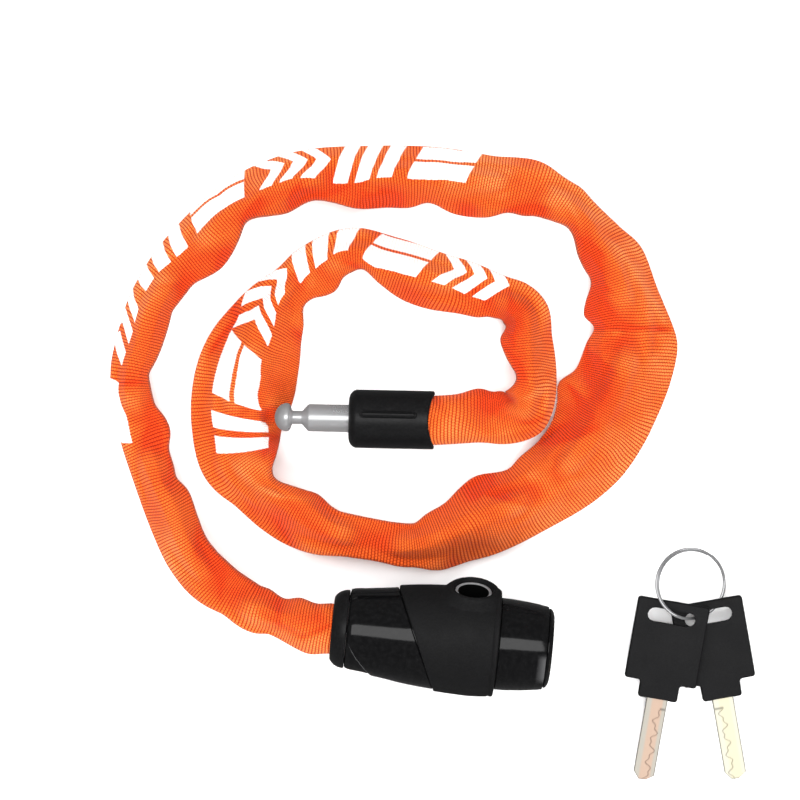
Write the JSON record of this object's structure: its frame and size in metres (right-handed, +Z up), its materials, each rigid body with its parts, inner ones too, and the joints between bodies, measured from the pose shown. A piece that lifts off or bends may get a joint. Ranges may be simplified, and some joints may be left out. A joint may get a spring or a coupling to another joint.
{
  "type": "sleeved chain lock",
  "caption": "Bicycle chain lock: fabric-sleeved steel chain coiled in a spiral, key cylinder body at one end, stud bolt at the other, with keys on a ring.",
  "frame": {"origin": "on the floor under the middle of the whole object's bounding box", "axes": "+Z up from the floor; the lock body lies along +X, 5.5 degrees clockwise of it, at -Y; the stud points to -X"},
  "size_m": [0.2465, 0.2401, 0.0407],
  "materials": {
    "orange_nylon": "coarse plain-weave nylon webbing, matte",
    "hardened_steel": "square hardened chain wire",
    "bright_steel": "turned and polished steel",
    "die_cast_zinc": "die-cast, satin",
    "gloss_black": "moulded, high gloss",
    "satin_black": "moulded, satin",
    "soft_black": "soft-touch overmould",
    "key_head_black": "moulded, fine texture",
    "nickel_silver": "rolled and milled",
    "brass": "rolled and milled",
    "ring_chrome": "plated spring wire"
  },
  "bodies": {
    "lock_body": {"nose_collar": "satin_black", "nose_shell": "gloss_black", "grip_saddle": "soft_black", "end_barrel": "gloss_black", "end_cap": "gloss_black", "lock_core": "die_cast_zinc", "socket_bushing": "bright_steel", "plug_retaining_pin": "bright_steel", "chain_anchor_pin": "bright_steel", "latch_spring": "bright_steel", "sleeve_span_1": "orange_nylon", "chain_link_01": "hardened_steel", "chain_link_02": "hardened_steel"},
    "chain_span_2": {"sleeve_span_2": "orange_nylon", "chain_link_03": "hardened_steel", "chain_link_04": "hardened_steel", "chain_link_05": "hardened_steel", "chain_link_06": "hardened_steel", "chain_link_07": "hardened_steel"},
    "chain_span_3": {"sleeve_span_3": "orange_nylon", "chain_link_08": "hardened_steel", "chain_link_09": "hardened_steel", "chain_link_10": "hardened_steel", "chain_link_11": "hardened_steel", "chain_link_12": "hardened_steel"},
    "chain_span_4": {"sleeve_span_4": "orange_nylon", "chain_link_13": "hardened_steel", "chain_link_14": "hardened_steel", "chain_link_15": "hardened_steel", "chain_link_16": "hardened_steel", "chain_link_17": "hardened_steel"},
    "chain_span_5": {"sleeve_span_5": "orange_nylon", "chain_link_18": "hardened_steel", "chain_link_19": "hardened_steel", "chain_link_20": "hardened_steel", "chain_link_21": "hardened_steel", "chain_link_22": "hardened_steel"},
    "chain_span_6": {"sleeve_span_6": "orange_nylon", "chain_link_23": "hardened_steel", "chain_link_24": "hardened_steel", "end_clevis": "die_cast_zinc", "clevis_pin": "bright_steel", "stud_bolt": "bright_steel", "stud_ferrule": "satin_black"},
    "key_cylinder": {"key_plug": "nickel_silver"},
    "latch": {"latch_bolt": "bright_steel"},
    "wafer_1_body": {"wafer_1": "brass"},
    "wafer_2_body": {"wafer_2": "brass"},
    "wafer_3_body": {"wafer_3": "brass"},
    "ring_body": {"key_ring": "ring_chrome"},
    "key_a_body": {"key_a_head": "key_head_black", "key_a_blade": "nickel_silver"},
    "key_b_body": {"key_b_head": "key_head_black", "key_b_blade": "brass"}
  },
  "joints": [
    {"name": "chain_bend_1", "type": "hinge", "parent": "lock_body", "child": "chain_span_2", "pos_m": [-0.08807, -0.03824, 0.008], "axis": [0, 0, 1], "range_deg": [0, 45]},
    {"name": "chain_bend_2", "type": "hinge", "parent": "chain_span_2", "child": "chain_span_3", "pos_m": [-0.04791, 0.10747, 0.008], "axis": [0, 0, 1], "range_deg": [0, 45]},
    {"name": "chain_bend_3", "type": "hinge", "parent": "chain_span_3", "child": "chain_span_4", "pos_m": [0.07432, 0.0355, 0.008], "axis": [0, 0, 1], "range_deg": [0, 45]},
    {"name": "chain_bend_4", "type": "hinge", "parent": "chain_span_4", "child": "chain_span_5", "pos_m": [-0.06887, -0.0032, 0.008], "axis": [0, 0, 1], "range_deg": [0, 45]},
    {"name": "chain_bend_5", "type": "hinge", "parent": "chain_span_5", "child": "chain_span_6", "pos_m": [0.03421, 0.0602, 0.008], "axis": [0, 0, 1], "range_deg": [0, 45]},
    {"name": "plug_turn", "type": "hinge", "parent": "lock_body", "child": "key_cylinder", "pos_m": [0.04502, -0.06917, 0.0202], "axis": [0.9954, -0.0958, 0], "range_deg": [0, 90]},
    {"name": "latch_slide", "type": "slide", "parent": "lock_body", "child": "latch", "axis": [0.9954, -0.0958, 0], "range_m": [0, 0.0026], "deforming": ["latch_spring"]},
    {"name": "wafer_1_slide", "type": "slide", "parent": "key_cylinder", "child": "wafer_1_body", "axis": [0, 0, 1], "range_m": [-0.0005, 0.0005], "stiffness_N_per_m": 60},
    {"name": "wafer_2_slide", "type": "slide", "parent": "key_cylinder", "child": "wafer_2_body", "axis": [0, 0, 1], "range_m": [-0.0005, 0.0005], "stiffness_N_per_m": 60},
    {"name": "wafer_3_slide", "type": "slide", "parent": "key_cylinder", "child": "wafer_3_body", "axis": [0, 0, 1], "range_m": [-0.0005, 0.0005], "stiffness_N_per_m": 60},
    {"name": "ring_lift", "type": "slide", "parent": "lock_body", "child": "ring_body", "axis": [0, 0, 1], "range_m": [0, 0.05]},
    {"name": "key_a_swing", "type": "hinge", "parent": "ring_body", "child": "key_a_body", "pos_m": [0.0964, -0.0583, 0.0071], "axis": [0, 0, -1], "range_deg": [0, 20]},
    {"name": "key_b_swing", "type": "hinge", "parent": "ring_body", "child": "key_b_body", "pos_m": [0.1006, -0.0583, 0.0038], "axis": [0, 0, 1], "range_deg": [0, 20]}
  ],
  "couplings": [
    {"joint": "chain_bend_2", "follows": "chain_bend_1", "ratio": 1},
    {"joint": "chain_bend_3", "follows": "chain_bend_1", "ratio": 1},
    {"joint": "chain_bend_4", "follows": "chain_bend_1", "ratio": 1},
    {"joint": "chain_bend_5", "follows": "chain_bend_1", "ratio": 1},
    {"joint": "latch_slide", "follows": "plug_turn", "m_per_rad": 0.00165}
  ]
}
